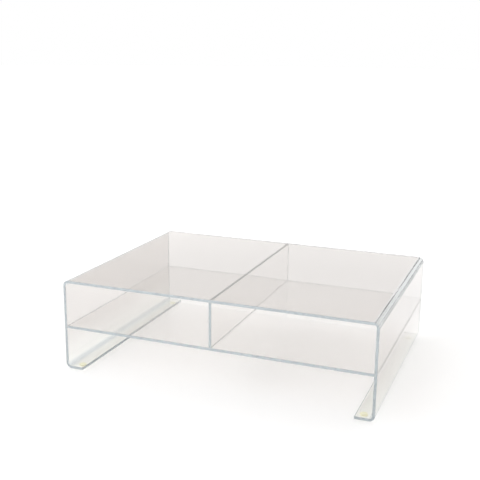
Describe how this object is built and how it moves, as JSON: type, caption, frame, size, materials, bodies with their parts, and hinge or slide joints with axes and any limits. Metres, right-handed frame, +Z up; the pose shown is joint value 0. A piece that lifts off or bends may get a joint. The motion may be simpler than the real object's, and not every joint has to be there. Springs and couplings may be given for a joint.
{
  "type": "monitor riser stand",
  "caption": "Clear acrylic desk riser: a bent shell open front and back, with a shelf and a centre divider over a keyboard bay.",
  "frame": {"origin": "on the desk, under the middle of the stand, level with the undersides of the feet", "axes": "+Z up; +X towards the stand's right side as seen from the open front; the front faces -Y"},
  "size_m": [0.5588, 0.4064, 0.1665],
  "materials": {
    "clear_acrylic": "polished",
    "acrylic_cement": "gloss",
    "clear_urethane": "satin",
    "clear_adhesive": "satin"
  },
  "bodies": {
    "root": {"bent_shell": "clear_acrylic", "shelf": "clear_acrylic", "divider": "clear_acrylic", "shelf_cement_left": "acrylic_cement", "shelf_cement_right": "acrylic_cement", "divider_cement_foot": "acrylic_cement", "divider_cement_head": "acrylic_cement", "foot_front_left": "clear_urethane", "foot_front_right": "clear_urethane", "foot_back_left": "clear_urethane", "foot_back_right": "clear_urethane", "foot_adhesive_front_left": "clear_adhesive", "foot_adhesive_front_right": "clear_adhesive", "foot_adhesive_back_left": "clear_adhesive", "foot_adhesive_back_right": "clear_adhesive"}
  },
  "joints": []
}
